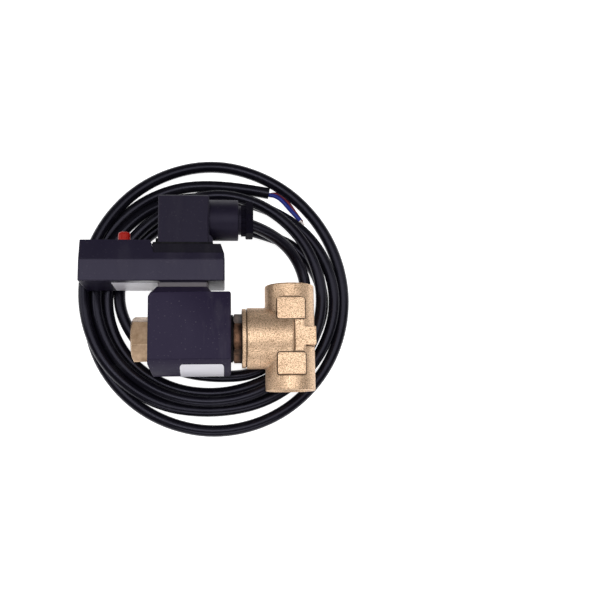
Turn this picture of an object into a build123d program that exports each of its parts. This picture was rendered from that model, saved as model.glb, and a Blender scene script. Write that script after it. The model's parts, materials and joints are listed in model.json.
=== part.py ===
from build123d import *
import os
from math import cos, pi, radians, sin, sqrt, tan

# Automatic drain valve: a two-way solenoid valve with G1/2 ports, a timer on its coil,
# a DIN form A plug on the timer and a coiled supply cord.
# Millimetres. Pieces are drawn about the solenoid axis (X, towards the valve body) with the
# ports' axis along Y, and moved at the end so that the inlet's mouth is the origin.
# The valve lies on its coiled cord, so +Z is up and the floor is at floor_z.

# valve body
port_reach = 29.5            # solenoid axis to each port mouth
port_radius = 13.9
port_thread_radius = 9.3     # G1/2, minor radius
port_thread_length = 15.0
passage_radius = 4.2
boss_radius = 17.1
boss_left, boss_right = -24.2, 1.3
rim_radius = 16.7
rim_left = -26.9
rim_groove = (0.5, 0.6)      # width and depth, between rim and boss
mouth_edge = 1.0
web_half_height = 14.1       # flat bridge between the two pads
web_left, web_right = -6.5, 7.5
pad_size = (15.6, 12.0)
pad_offset = 15.2            # solenoid axis to the middle of each pad
pad_half_height = 14.9
lug_right, lug_half_width, lug_half_height = 13.6, 5.1, 11.4
cavity_radius = 12.0         # M24 thread for the bonnet nut
chamber_radius = 9.5
ledge_x = -17.0
chamber_floor_x = -5.0
seat_x = -9.0
seat_radius = 5.0
orifice_radius = 2.0

# operator
tube_radius, tube_bore = 6.5, 5.2
tube_end_x = -76.9
flange_radius = 11.8
seal_thickness = 1.0
flange_thickness = 1.5
bonnet_flats = 24.0
bonnet_left = -31.8
plunger_radius = 4.95
plunger_nose_x, plunger_back_x = -10.0, -46.0
seal_face_x = -9.1
spring_pocket_radius, spring_pocket_end_x = 2.7, -33.0
spring_radius, spring_wire, spring_turns = 2.1, 0.3, 7
core_face_x = -48.1
stud_radius, stud_end_x = 4.9, -84.5
coil_nut_flats, coil_nut_end_x = 22.4, -87.2
hex_turn = 50.0              # nut's angle about the solenoid axis, degrees

# coil housing
housing_left, housing_right = -77.4, -33.0
housing_half_depth = 20.0
housing_top, housing_seam, housing_bottom = 23.3, -13.0, -20.7
seam_groove = (0.4, 0.25)    # width and depth of the mould's parting line
upper_slant = [(-79.0, 18.5), (-79.0, 28.0), (-72.3, 28.0)]      # cut off at the nut's end
lower_slant = [(-79.0, -14.2), (-72.5, -22.3), (-79.0, -22.3)]
label_left, label_right, label_top, label_sheet = -60.4, -36.9, -15.7, 0.15
connector_x = -59.0          # common axis of the coil's, timer's and plug's connectors
connector_top = 27.0
connector_half = (13.5, 14.0)
cavity = (-75.4, -35.0, -15.5, 16.0, 14.5)   # x from, x to, y from, y to, half depth
plate = 2.0                  # yoke sheet
bobbin_flange = 13.4
winding_radius = 12.9
blade = (6.3, 0.8)
blade_spacing = 9.0
earth_offset = 8.0
screw_radius = 1.5

# timer
timer_left, timer_right = -115.3, -36.3
timer_bottom, timer_seam, panel_y, deck_y = 30.0, 42.0, 53.1, 45.7
timer_half_depth, panel_half_depth = 16.0, 14.0
panel_right = -77.0
wall = 2.0
parting_chamfer = 0.2        # on base and cover, where they meet
pedestal_top, pedestal_half_depth = 50.9, 14.4
board_y = 44.4
dial_radius, dial_places = 4.0, {"off": (-106.0, -2.5), "on": (-85.5, -2.5)}
button_x, button_z, button_radius, button_top = -91.8, 6.5, 3.4, 59.0
button_travel = 1.2

# plug and gland
plug_left, plug_right, plug_half_depth = -72.9, -44.9, 13.8
plug_foot, plug_top = 51.9, 79.1
gland_y = 67.9
gland_radius, gland_left, gland_right = 11.65, -46.0, -28.6
nut_left, nut_right, nut_flats = -27.0, -20.3, 19.0
collar_radius, collar_right = 9.1, -24.4
collar_ribs = 16
stub_radius, cord_bore = 8.5, 6.7
seal_radius, seal_from_x, seal_to_x, washer_end_x = 5.6, -38.4, -35.4, -34.4

# cord
cord_radius = 3.4
core_radius, core_lane = 0.95, 71.0
floor_z = -28.8
layer_top = floor_z + 2 * cord_radius
stack_top = -16.3            # strands that lie on the first layer, under the timer
coil_centre = (-43.0, 27.0)
lead_route = [(-44.5, gland_y, 0.0), (-29.0, gland_y, 0.0), (-13.5, 63.6, -4.4),
              (-0.2, 56.2, -11.0), (8.2, 45.0, -16.2), (11.9, 31.0, -18.6), (11.9, 17.5, -18.6)]


def rod(radius, x_from, x_to, y=0.0, z=0.0):
    """Cylinder along X."""
    return Pos((x_from + x_to) / 2, y, z) * Rot(0, 90, 0) * Cylinder(radius, abs(x_to - x_from))


def post(radius, y_from, y_to, x=0.0, z=0.0):
    """Cylinder along Y."""
    return Pos(x, (y_from + y_to) / 2, z) * Rot(90, 0, 0) * Cylinder(radius, abs(y_to - y_from))


def block(x_from, x_to, y_from, y_to, z_from, z_to):
    size = (x_to - x_from, y_to - y_from, z_to - z_from)
    return Pos((x_from + x_to) / 2, (y_from + y_to) / 2, (z_from + z_to) / 2) * Box(*size)


def deep(x_from, x_to, y_from, y_to, half):
    """Block that reaches equally far to both sides of the valve's middle plane."""
    return block(x_from, x_to, y_from, y_to, -half, half)


def prism(points, half):
    """Outline in X and Y, as deep as half on both sides of the middle plane."""
    return extrude(Plane.XY * Polygon(*points, align=None), half, both=True)


def hexagon(flats, x_from, x_to, bevel=1.0, turn=0.0):
    """Hexagonal nut blank along X with its corners turned off at the x_from end."""
    corner = flats / sqrt(3)
    face = Plane((x_from, 0, 0), x_dir=(0, 1, 0), z_dir=(1, 0, 0))
    blank = extrude(face * RegularPolygon(corner, 6, rotation=turn), x_to - x_from)
    turned = rod(corner, x_from, x_to)
    return blank & chamfer(turned.edges().sort_by(Axis.X)[0], bevel, bevel * 2.0)


def rim_edges(shape, axis):
    return shape.edges().filter_by(GeomType.CIRCLE).filter_by(lambda e: abs(e.normal().dot(axis)) > 0.9)


def valve_body():
    ports = post(port_radius, -port_reach, port_reach)
    body = fillet(rim_edges(ports, Vector(0, 1, 0)), mouth_edge)
    boss = rod(boss_radius, boss_left, boss_right)
    body += fillet(boss.edges().filter_by(GeomType.CIRCLE).sort_by(Axis.X)[-1], 1.2)
    body += rod(rim_radius, rim_left, boss_left)
    body -= rim_gap()
    web = deep(web_left, web_right, -pad_offset, pad_offset, web_half_height)
    body += fillet(web.edges().filter_by(Axis.Y), 1.2)
    for side in (1, -1):
        pad = Pos(-0.3, side * pad_offset, 0) * Box(*pad_size, 2 * pad_half_height)
        body += fillet(pad.edges().filter_by(Axis.Z), 1.4)
    lug = deep(0, lug_right, -lug_half_width, lug_half_width, lug_half_height)
    body += fillet(lug.edges().filter_by(Axis.Z).sort_by(Axis.X)[-2:], 0.8)
    for side in (1, -1):
        thread_end = side * (port_reach - port_thread_length)
        body -= post(port_thread_radius, side * (port_reach + 1), thread_end)
    body -= rod(cavity_radius, rim_left - 1, ledge_x) + rod(chamber_radius, ledge_x, chamber_floor_x)
    body -= post(passage_radius, seat_radius + 1, port_reach - port_thread_length + 1, x=-5.0)
    body -= post(passage_radius, -port_reach + port_thread_length - 1, 3.0, x=3.0)
    body += rod(seat_radius, chamber_floor_x + 0.5, seat_x)
    return body - rod(orifice_radius, seat_x - 1, 3.0)


def rim_gap():
    """Turned groove that sets the rim off from the boss."""
    width, depth = rim_groove
    start = boss_left - width / 2
    return rod(boss_radius + 1, start, start + width) - rod(rim_radius - depth, start, start + width)


def bonnet_seal():
    inner = ledge_x - seal_thickness
    return rod(cavity_radius - 0.1, inner, ledge_x) - rod(chamber_radius, inner, ledge_x)


def bonnet_nut():
    nut = hexagon(bonnet_flats, bonnet_left, rim_left, 0.8)
    shank_end = ledge_x - seal_thickness - flange_thickness
    nut += rod(cavity_radius, rim_left, shank_end)
    return nut - rod(tube_radius + 0.05, bonnet_left, shank_end)


def armature_tube():
    flange_end = ledge_x - seal_thickness
    tube = rod(tube_radius, tube_end_x, flange_end) + rod(flange_radius, flange_end - flange_thickness, flange_end)
    return tube - rod(tube_bore, tube_end_x, flange_end)


def plunger():
    body = rod(plunger_radius, plunger_back_x, plunger_nose_x)
    body = chamfer(body.edges().filter_by(GeomType.CIRCLE), 0.5)
    for side in (1, -1):
        body -= block(plunger_back_x - 1, plunger_nose_x - 5, side * plunger_radius - 0.9,
                      side * plunger_radius + 0.9, -0.6, 0.6)
    body -= rod(3.5, plunger_nose_x - 3, plunger_nose_x)
    return body - rod(spring_pocket_radius, plunger_back_x, spring_pocket_end_x)


def plunger_seal():
    seal = rod(3.5, plunger_nose_x - 3, seal_face_x)
    return chamfer(seal.edges().filter_by(GeomType.CIRCLE).sort_by(Axis.X)[-1], 0.4)


def plunger_spring():
    start, end = core_face_x + spring_wire, spring_pocket_end_x - spring_wire
    coil = Helix((end - start) / spring_turns, end - start, spring_radius, center=(start, 0, 0),
                 direction=(1, 0, 0))
    section = Plane(coil @ 0, z_dir=coil % 0) * RegularPolygon(spring_wire, 6)
    return sweep(section, path=coil, is_frenet=True)


def pole_core():
    core = rod(tube_bore - 0.02, tube_end_x, core_face_x) + rod(stud_radius, stud_end_x, tube_end_x)
    core = chamfer(core.edges().filter_by(GeomType.CIRCLE).sort_by(Axis.X)[0], 0.8)
    return core - ring_groove()


def ring_groove():
    return rod(4.4, core_face_x - 1.2, core_face_x) - rod(3.6, core_face_x - 1.2, core_face_x)


def housing_profile():
    """Flat front and back, rounded underside."""
    half, top, seam, low = housing_half_depth, housing_top, housing_seam, housing_bottom
    walls = Polyline((seam, -half), (top, -half), (top, half), (seam, half))
    belly = ThreePointArc((seam, half), (low, 0), (seam, -half))
    return make_face([walls, belly])


def solenoid_housing():
    start = Plane((housing_left, 0, 0), x_dir=(0, 1, 0), z_dir=(1, 0, 0))
    shell = extrude(start * housing_profile(), housing_right - housing_left, dir=(1, 0, 0))
    ends = shell.faces().filter_by(Axis.X)
    shell = fillet(ends.edges(), 1.2)
    half_x, half_z = connector_half
    low, high = housing_top, connector_top
    base = Plane((connector_x - 0.7, low - 0.5, 0), x_dir=(1, 0, 0), z_dir=(0, 1, 0))
    crown = Plane((connector_x - 0.5, high, 0), x_dir=(1, 0, 0), z_dir=(0, 1, 0))
    shell += loft([base * Rectangle(2 * half_x + 6, 2 * housing_half_depth - 1.2),
                   crown * Rectangle(2 * half_x, 2 * half_z)])
    shell -= prism(upper_slant, 25) + prism(lower_slant, 25)
    shell -= deep(*cavity)
    shell -= rod(tube_radius + 0.2, housing_left - 1, housing_right + 1)
    shell -= connector_slots(cavity[3] - 1, high + 1)
    shell -= parting_line()
    return shell - post(screw_radius, high - 8, high + 1, x=connector_x)


def parting_line():
    """Fine groove along the housing's front and back."""
    width, depth = seam_groove
    y_from, y_to = housing_seam - width / 2, housing_seam + width / 2
    band = deep(housing_left - 1, housing_right + 1, y_from, y_to, housing_half_depth + 1)
    return band - deep(housing_left - 1, housing_right + 1, y_from, y_to, housing_half_depth - depth)


def blades(y_from, y_to, slack=0.0):
    """Two contacts and the earth contact of a DIN form A connector."""
    wide, thin = blade[0] / 2 + slack, blade[1] / 2 + slack
    parts = [block(connector_x + side * blade_spacing - thin, connector_x + side * blade_spacing + thin,
                   y_from, y_to, -wide, wide) for side in (1, -1)]
    parts.append(block(connector_x - wide, connector_x + wide, y_from, y_to,
                       earth_offset - thin, earth_offset + thin))
    return parts


def connector_slots(y_from, y_to):
    return Compound(blades(y_from, y_to, 0.03))


def magnet_yoke():
    left, right, low, high, half = cavity
    yoke = deep(left, left + plate, low, high, half) + deep(right - plate, right, low, high, half)
    yoke += deep(left, right, low, low + plate, half - 3)
    return yoke - rod(tube_radius + 0.2, left, right)


def coil_bobbin():
    left, right = cavity[0] + plate, cavity[1] - plate
    spool = rod(8.0, left, right) + rod(bobbin_flange, left, left + 1.2) + rod(bobbin_flange, right - 1.2, right)
    return spool - rod(tube_radius + 0.2, left, right)


def coil_winding():
    left, right = cavity[0] + plate + 1.2, cavity[1] - plate - 1.2
    return rod(winding_radius, left, right) - rod(8.0, left, right)


def coil_nut():
    nut = hexagon(coil_nut_flats, coil_nut_end_x, housing_left, 1.3, turn=hex_turn)
    return nut - rod(stud_radius + 0.02, stud_end_x - 0.5, housing_left)


def coil_washer():
    return rod(13.3, housing_right, bonnet_left) - rod(tube_radius + 0.05, housing_right, bonnet_left)


def coil_label():
    """Bare label that follows the housing's rounded underside."""
    start = Plane((label_left, 0, 0), x_dir=(0, 1, 0), z_dir=(1, 0, 0))
    length = label_right - label_left
    sheet = extrude(start * offset(housing_profile(), label_sheet), length, dir=(1, 0, 0))
    sheet -= extrude(start * housing_profile(), length, dir=(1, 0, 0))
    outline = block(label_left, label_right, housing_bottom - 1, label_top, -3, 18.2)
    return sheet & fillet(outline.edges().filter_by(Axis.Z).sort_by(Axis.Y)[-2:], 1.6)


def connector_gasket():
    half_x, half_z = connector_half
    sheet = deep(connector_x - half_x, connector_x + half_x, connector_top, timer_bottom - 0.6, half_z - 0.4)
    sheet = fillet(sheet.edges().filter_by(Axis.Y), 1.0)
    sheet -= Compound(blades(connector_top, timer_bottom, 0.3))
    return sheet - post(screw_radius + 0.3, connector_top, timer_bottom, x=connector_x)


def timer_base():
    shell = deep(timer_left, timer_right, timer_bottom, timer_seam, timer_half_depth)
    shell = fillet(shell.edges().filter_by(Axis.Y), 1.2)
    shell = chamfer(shell.faces().sort_by(Axis.Y)[0].edges(), 0.4)
    shell = chamfer(shell.faces().sort_by(Axis.Y)[-1].edges(), parting_chamfer)
    room = deep(timer_left + wall, timer_right - wall, timer_bottom + wall, timer_seam, timer_half_depth - wall)
    shell -= fillet(room.edges().filter_by(Axis.Y), 0.6)
    socket = deep(connector_x - 12.6, connector_x + 12.6, timer_bottom - 0.6, timer_bottom, 13.0)
    shell += socket
    for x in (timer_left + 6, panel_right - 6):
        for z in (-10.5, 10.5):
            shell += post(2.0, timer_bottom + wall, board_y - 1.6, x=x, z=z)
    shell -= Compound(blades(timer_bottom - 1, timer_bottom + wall, 0.3))
    return shell - post(screw_radius + 0.3, timer_bottom - 1, timer_bottom + wall, x=connector_x)


def cover_form(inset):
    """Stepped lid whose front and back lean inwards; inset gives its inside."""
    left, right = timer_left + inset, timer_right - inset
    high, deck = panel_y - inset, deck_y - inset
    edge = panel_right - inset * 0.6
    outline = [(left, timer_seam), (left + 0.2, high), (edge, high), (edge + 2.1, deck),
               (right - 0.3, deck), (right, timer_seam)]
    low, top = timer_half_depth - inset, panel_half_depth - inset
    lean = Plane((timer_left - 5, 0, 0), x_dir=(0, 1, 0), z_dir=(1, 0, 0))
    draft = [(timer_seam, -low), (timer_seam, low), (panel_y, top), (panel_y, -top)]
    return prism(outline, timer_half_depth) & extrude(lean * Polygon(*draft, align=None), 100, dir=(1, 0, 0))


def timer_cover():
    lid = cover_form(0)
    corners = lid.edges().filter_by(lambda e: abs((e % 0).Y) > 0.95).sort_by(Axis.X)
    lid = fillet(corners[:2] + corners[-2:], 1.2)
    lid = chamfer(lid.faces().sort_by(Axis.Y)[0].edges(), parting_chamfer)
    lid -= cover_form(wall)
    tongue = deep(timer_left + wall, timer_right - wall, timer_seam - 1.6, timer_seam + 1, timer_half_depth - wall)
    tongue = fillet(tongue.edges().filter_by(Axis.Y), 0.7)
    hollow = deep(timer_left + wall + 1, timer_right - wall - 1, timer_seam - 2, timer_seam + 1,
                  timer_half_depth - wall - 1)
    lid += tongue - hollow
    for x, z in dial_places.values():
        lid -= post(dial_radius + 0.3, panel_y - wall - 1, panel_y + 1, x=x, z=z)
    lid -= post(button_radius + 0.3, panel_y - wall - 1, panel_y + 1, x=button_x, z=button_z)
    for x in lamp_places():
        lid -= post(1.5, panel_y - wall - 1, panel_y + 1, x=x, z=-9.0)
    lid -= Compound(blades(deck_y - wall - 1, deck_y + 1, 0.03))
    return lid - post(screw_radius + 0.3, deck_y - wall - 1, deck_y + 1, x=connector_x)


def lamp_places():
    return (button_x - 4.0, button_x + 4.0)


def plug_pedestal():
    """Raised connector base that carries the plug's contacts."""
    outline = [(panel_right + 2.2, deck_y), (timer_right - 0.4, deck_y),
               (timer_right - 2.2, pedestal_top), (panel_right + 0.8, pedestal_top)]
    base = prism(outline, pedestal_half_depth)
    base -= Compound(blades(deck_y - 1, pedestal_top + 1, 0.03))
    return base - post(screw_radius + 0.3, deck_y - 1, pedestal_top + 1, x=connector_x)


def circuit_board():
    return deep(timer_left + wall + 1.3, panel_right - 3.5, board_y - 1.6, board_y, 12.4)


def circuit_parts():
    """Relay, transformer and the two dials' potentiometers on the board."""
    low, high = timer_bottom + wall + 0.6, board_y - 1.6
    parts = [deep(-104.0, -92.0, low, high, 9.0), deep(-89.5, -86.0, low + 2, high, 8.0)]
    for x, z in dial_places.values():
        parts.append(block(x - 4.5, x + 4.5, board_y, board_y + 3.0, z - 4.5, z + 4.5))
    return Compound(parts)


def test_switch():
    return block(button_x - 3, button_x + 3, board_y, board_y + 3.4, button_z - 3, button_z + 3)


def test_button():
    stem_bottom = board_y + 3.4 + button_travel + 0.1
    cap = post(button_radius, panel_y - wall, button_top, x=button_x, z=button_z)
    cap = fillet(cap.edges().filter_by(GeomType.CIRCLE).sort_by(Axis.Y)[-1], 1.5)
    cap += post(button_radius + 0.9, panel_y - wall - 1.2, panel_y - wall - 0.15, x=button_x, z=button_z)
    return cap + post(1.6, stem_bottom, panel_y - wall, x=button_x, z=button_z)


def dial(name):
    """Slotted dial, turned with a screwdriver or a fingertip."""
    x, z = dial_places[name]
    top = panel_y + 1.6
    knob = post(dial_radius, panel_y - wall, top, x=x, z=z)
    knob = chamfer(knob.edges().filter_by(GeomType.CIRCLE).sort_by(Axis.Y)[-1], 0.4)
    knob -= block(x - 2.9, x + 2.9, top - 1.1, top + 1, z - 0.5, z + 0.5)
    knob -= block(x, x + 2.9, top - 0.5, top + 1, z - 1.1, z + 1.1)
    return knob + post(1.5, board_y + 3.1, panel_y - wall, x=x, z=z)


def indicator_lamps():
    lamps = []
    for x in lamp_places():
        lamp = post(1.45, panel_y - wall - 3.0, panel_y + 0.5, x=x, z=-9.0)
        lamp = fillet(lamp.edges().filter_by(GeomType.CIRCLE).sort_by(Axis.Y)[-1], 0.6)
        lamps.append(lamp + post(2.0, panel_y - wall - 3.0, panel_y - wall, x=x, z=-9.0))
    return Compound(lamps)


def timer_labels():
    """Bare label on the timer's underside, beside the connector."""
    return block(-98.0, connector_x - 14.2, timer_bottom - 0.15, timer_bottom, -14.0, 9.6)


def socket_clips():
    """Spring clips that take the coil's blades and carry the plug's blades."""
    clips = blades(timer_bottom + wall, timer_bottom + wall + 6.2, 1.0)
    cuts = Compound(blades(timer_bottom, timer_bottom + wall + 8, 0.1))
    return Compound([clip - cuts for clip in clips])


def coil_blades():
    return Compound(blades(cavity[3] - 2, timer_bottom + wall + 5.5))


def timer_blades():
    return Compound(blades(deck_y - wall - 2.5, pedestal_top + 8.5))


def plug_gasket():
    left, right = plug_left - 2.8, plug_right + 2.2
    sheet = deep(left, right, pedestal_top, plug_foot, plug_half_depth + 0.4)
    sheet = fillet(sheet.edges().filter_by(Axis.Y), 1.2)
    lip = prism([(left, plug_foot), (left + 1.0, plug_foot), (left + 2.4, plug_foot + 1.2),
                 (left + 2.4, plug_foot + 3.6), (left + 1.2, plug_foot + 3.6), (left + 1.2, plug_foot + 1.6)], 8)
    sheet += lip
    sheet -= Compound(blades(pedestal_top - 1, plug_foot + 1, 0.3))
    return sheet - post(screw_radius + 0.3, pedestal_top - 1, plug_foot + 1, x=connector_x)


def plug_housing():
    shell = deep(plug_left, plug_right, plug_foot, plug_top, plug_half_depth)
    shell = chamfer(shell.faces().sort_by(Axis.Y)[-1].edges(), 1.0)
    shell = chamfer(shell.edges().filter_by(Axis.Y), 0.8)
    skirt = prism([(plug_right - 1, 56.6), (plug_right, 56.6), (plug_right + 2.0, 54.6),
                   (plug_right + 2.0, plug_foot), (plug_right - 1, plug_foot)], plug_half_depth - 0.8)
    barrel = rod(gland_radius, gland_left, gland_right, y=gland_y)
    barrel = fillet(barrel.edges().filter_by(GeomType.CIRCLE).sort_by(Axis.X)[-1], 0.6)
    shell += skirt + barrel + rod(stub_radius - 0.35, gland_right, nut_left + 2.6, y=gland_y)
    room = deep(plug_left + wall, plug_right - wall, plug_foot - 1, plug_top - wall, plug_half_depth - wall)
    shell -= room
    shell -= rod(cord_bore, washer_end_x, nut_left + 4.0, y=gland_y) + rod(4.6, -48.0, washer_end_x, y=gland_y)
    shell -= rod(seal_radius, seal_from_x, washer_end_x, y=gland_y)
    shell -= post(screw_radius + 0.3, plug_top - wall - 1, plug_top + 1, x=connector_x)
    return shell - post(3.4, plug_top - 1.2, plug_top + 1, x=connector_x)


def contact_carrier():
    """Terminal block inside the plug, with a socket over each of the timer's blades."""
    body = deep(plug_left + wall + 0.1, plug_right - wall - 0.1, plug_foot, plug_foot + 11.0,
                plug_half_depth - wall - 0.1)
    body -= Compound(blades(plug_foot - 1, pedestal_top + 9.2, 0.2))
    body -= post(screw_radius + 0.3, plug_foot - 1, plug_foot + 12, x=connector_x)
    for side in (1, -1):
        body -= post(1.6, plug_foot + 10.0, plug_foot + 12, x=connector_x + side * blade_spacing, z=-6.0)
    return body


def terminal_screws():
    heads = [post(1.5, plug_foot + 10.0, plug_foot + 11.4, x=connector_x + side * blade_spacing, z=-6.0)
             for side in (1, -1)]
    return Compound(heads)


def clamp_screw():
    """Long screw through plug and timer into the coil."""
    screw = post(screw_radius, connector_top - 7.5, plug_top - 1.2, x=connector_x)
    head = post(2.8, plug_top - 1.2, plug_top + 0.6, x=connector_x)
    head = fillet(head.edges().filter_by(GeomType.CIRCLE).sort_by(Axis.Y)[-1], 0.5)
    return screw + head - block(connector_x - 3, connector_x + 3, plug_top - 0.3, plug_top + 1, -0.4, 0.4)


def gland_seal():
    ring = rod(seal_radius, seal_from_x, seal_to_x, y=gland_y)
    return ring - rod(cord_radius + 0.02, seal_from_x, seal_to_x, y=gland_y)


def gland_washer():
    ring = rod(seal_radius, seal_to_x, washer_end_x, y=gland_y)
    return ring - rod(cord_radius + 0.4, seal_to_x, washer_end_x, y=gland_y)


def gland_nut():
    """Nut on the plug's stub, with the sleeve that presses the washer onto the seal."""
    corner = nut_flats / sqrt(3)
    face = Plane((collar_right, gland_y, 0), x_dir=(0, 1, 0), z_dir=(1, 0, 0))
    nut = extrude(face * RegularPolygon(corner, 6, rotation=25), nut_right - collar_right)
    turned = rod(corner, collar_right, nut_right, y=gland_y)
    nut &= chamfer(turned.edges().filter_by(GeomType.CIRCLE), 0.5)
    nut += rod(collar_radius, nut_left, collar_right, y=gland_y)
    for count in range(collar_ribs):
        angle = 2 * pi * count / collar_ribs
        y, z = gland_y + collar_radius * cos(angle), collar_radius * sin(angle)
        nut -= rod(0.6, nut_left, collar_right, y=y, z=z)
    nut -= rod(stub_radius - 0.3, nut_left, nut_left + 2.6, y=gland_y)
    nut += rod(cord_bore - 0.05, washer_end_x, nut_left + 3.5, y=gland_y)
    nut -= rod(5.9, washer_end_x, nut_left + 3.5, y=gland_y)
    return nut - rod(cord_bore + 0.5, nut_left + 3.5, nut_right, y=gland_y)


def lead_radii():
    """Bend radius at each inner corner: 0.45 of the shorter run over the tangent of half the turn."""
    radii = []
    for before, here, after in zip(lead_route, lead_route[1:], lead_route[2:]):
        run_in, run_out = Vector(*here) - Vector(*before), Vector(*after) - Vector(*here)
        half_turn = radians(run_in.get_angle(run_out)) / 2
        radii.append(0.45 * min(run_in.length, run_out.length) / tan(half_turn))
    return radii


def cord_lead():
    radii = lead_radii()
    print("cord bend radii:", [round(r, 1) for r in radii])
    path = FilletPolyline(*lead_route, radius=radii)
    tube = sweep(Plane(path @ 0, z_dir=path % 0) * Circle(cord_radius), path=path)
    print(f"cord lead: {path.length:.1f} mm, volume ratio {tube.volume / (pi * cord_radius**2 * path.length):.3f}")
    return tube


def band(centre, outer, inner, z_from, z_to):
    """Ring between two ellipses."""
    face = Pos(*centre, z_from) * (Ellipse(*outer) - Ellipse(*inner))
    return extrude(face, z_to - z_from)


def cord_coil():
    """Outer shape of the loosely coiled cord: a first layer and the strands stacked on it."""
    x, y = coil_centre
    coil = band((x + 0.8, y + 2.0), (80.6, 83.2), (51.0, 43.8), floor_z, layer_top)
    stack = band((x, y), (77.0, 67.5), (51.5, 55.0), layer_top, stack_top)
    stack -= block(x - 2, x + 90, lead_route[-1][1], y + 90, layer_top - 1, stack_top + 1)
    stack -= deep(housing_left - 0.6, housing_right, housing_bottom - 0.6, housing_top, 25)
    stack -= deep(rim_left - 1, 2.6, -boss_radius - 0.6, boss_radius + 0.6, 25)
    return coil + stack


def cord_core(radius):
    """Insulated conductor that leaves the cut jacket and lies along the coil."""
    x, y = coil_centre
    spots = [(x + radius * sin(radians(angle)), y + radius * cos(radians(angle)), layer_top + core_radius)
             for angle in (28.5, 39.0, 49.5)]
    path = ThreePointArc(*spots)
    return sweep(Plane(path @ 0, z_dir=path % 0) * Circle(core_radius), path=path)


PARTS = {
    "valve_body": valve_body, "bonnet_seal": bonnet_seal, "bonnet_nut": bonnet_nut,
    "armature_tube": armature_tube, "pole_core": pole_core, "shading_ring": ring_groove,
    "plunger": plunger, "plunger_seal": plunger_seal, "plunger_spring": plunger_spring,
    "solenoid_housing": solenoid_housing, "magnet_yoke": magnet_yoke, "coil_bobbin": coil_bobbin,
    "coil_winding": coil_winding, "coil_blades": coil_blades, "coil_washer": coil_washer,
    "coil_nut": coil_nut, "coil_label": coil_label, "connector_gasket": connector_gasket,
    "timer_base": timer_base, "timer_cover": timer_cover, "timer_labels": timer_labels,
    "circuit_board": circuit_board, "circuit_parts": circuit_parts, "socket_clips": socket_clips,
    "test_switch": test_switch, "test_button": test_button, "indicator_lamps": indicator_lamps,
    "off_dial": lambda: dial("off"), "on_dial": lambda: dial("on"), "plug_pedestal": plug_pedestal,
    "timer_blades": timer_blades, "plug_gasket": plug_gasket, "plug_housing": plug_housing,
    "contact_carrier": contact_carrier, "terminal_screws": terminal_screws, "clamp_screw": clamp_screw,
    "gland_seal": gland_seal, "gland_washer": gland_washer, "gland_nut": gland_nut,
    "cord_lead": cord_lead, "cord_coil": cord_coil,
    "core_brown": lambda: cord_core(core_lane + core_radius + 0.05),
    "core_blue": lambda: cord_core(core_lane - core_radius - 0.05),
}

os.makedirs("parts", exist_ok=True)
for name, make in PARTS.items():
    export_step(Pos(0, -port_reach, 0) * make(), f"parts/{name}.step")
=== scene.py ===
import json
from math import cos, pi, radians, sin

import bpy
from mathutils import Matrix, Vector

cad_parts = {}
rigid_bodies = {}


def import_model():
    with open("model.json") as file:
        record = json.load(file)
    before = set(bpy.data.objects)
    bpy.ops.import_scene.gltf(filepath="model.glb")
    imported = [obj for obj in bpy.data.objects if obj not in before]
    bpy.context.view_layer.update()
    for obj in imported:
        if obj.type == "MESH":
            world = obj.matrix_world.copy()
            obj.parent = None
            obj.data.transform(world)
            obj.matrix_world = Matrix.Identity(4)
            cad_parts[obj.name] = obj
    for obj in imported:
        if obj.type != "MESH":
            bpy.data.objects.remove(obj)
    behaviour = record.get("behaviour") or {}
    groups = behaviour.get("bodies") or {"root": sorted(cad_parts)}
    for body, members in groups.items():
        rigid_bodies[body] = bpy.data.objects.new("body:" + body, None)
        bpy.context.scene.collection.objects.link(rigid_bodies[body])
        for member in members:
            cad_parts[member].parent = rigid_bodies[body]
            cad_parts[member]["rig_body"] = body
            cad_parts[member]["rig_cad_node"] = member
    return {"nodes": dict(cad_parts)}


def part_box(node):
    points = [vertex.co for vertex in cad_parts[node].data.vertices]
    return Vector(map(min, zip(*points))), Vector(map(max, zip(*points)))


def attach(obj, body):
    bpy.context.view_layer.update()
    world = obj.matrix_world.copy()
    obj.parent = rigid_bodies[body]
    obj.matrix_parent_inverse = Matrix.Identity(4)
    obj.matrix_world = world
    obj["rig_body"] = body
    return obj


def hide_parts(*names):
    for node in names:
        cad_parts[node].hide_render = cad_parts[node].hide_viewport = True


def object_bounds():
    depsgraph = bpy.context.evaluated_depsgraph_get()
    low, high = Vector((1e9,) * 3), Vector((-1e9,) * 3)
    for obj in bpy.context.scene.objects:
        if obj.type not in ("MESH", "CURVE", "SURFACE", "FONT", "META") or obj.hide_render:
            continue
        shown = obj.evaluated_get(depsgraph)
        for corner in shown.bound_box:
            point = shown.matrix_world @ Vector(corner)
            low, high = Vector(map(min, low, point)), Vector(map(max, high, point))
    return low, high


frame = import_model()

MM = 0.001

# The valve lies on its coiled cord, which rests on the floor.
nodes = frame["nodes"]
cad_low, cad_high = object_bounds()
body_low, body_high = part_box("valve_body")
AXIS_Y = (body_low.y + body_high.y) / 2          # place of the solenoid's axis along Y, in metres
FLOOR = cad_low.z


def at(x, y, z):
    """A place given in millimetres about the solenoid's axis, in metres in the part's frame."""
    return Vector((x * MM, y * MM + AXIS_Y, z * MM))


def new_object(name, data):
    piece = bpy.data.objects.new(name, data)
    bpy.context.scene.collection.objects.link(piece)
    return piece


# ---------------------------------------------------------------- camera

CAMERA_PLACE = (-36.94, -55.72, 463.74)          # in millimetres about the solenoid's axis
SIGHT_RIGHT = (0.9958, -0.0172, 0.0896)
SIGHT_BACK = (-0.0912, -0.1642, 0.9822)

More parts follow.
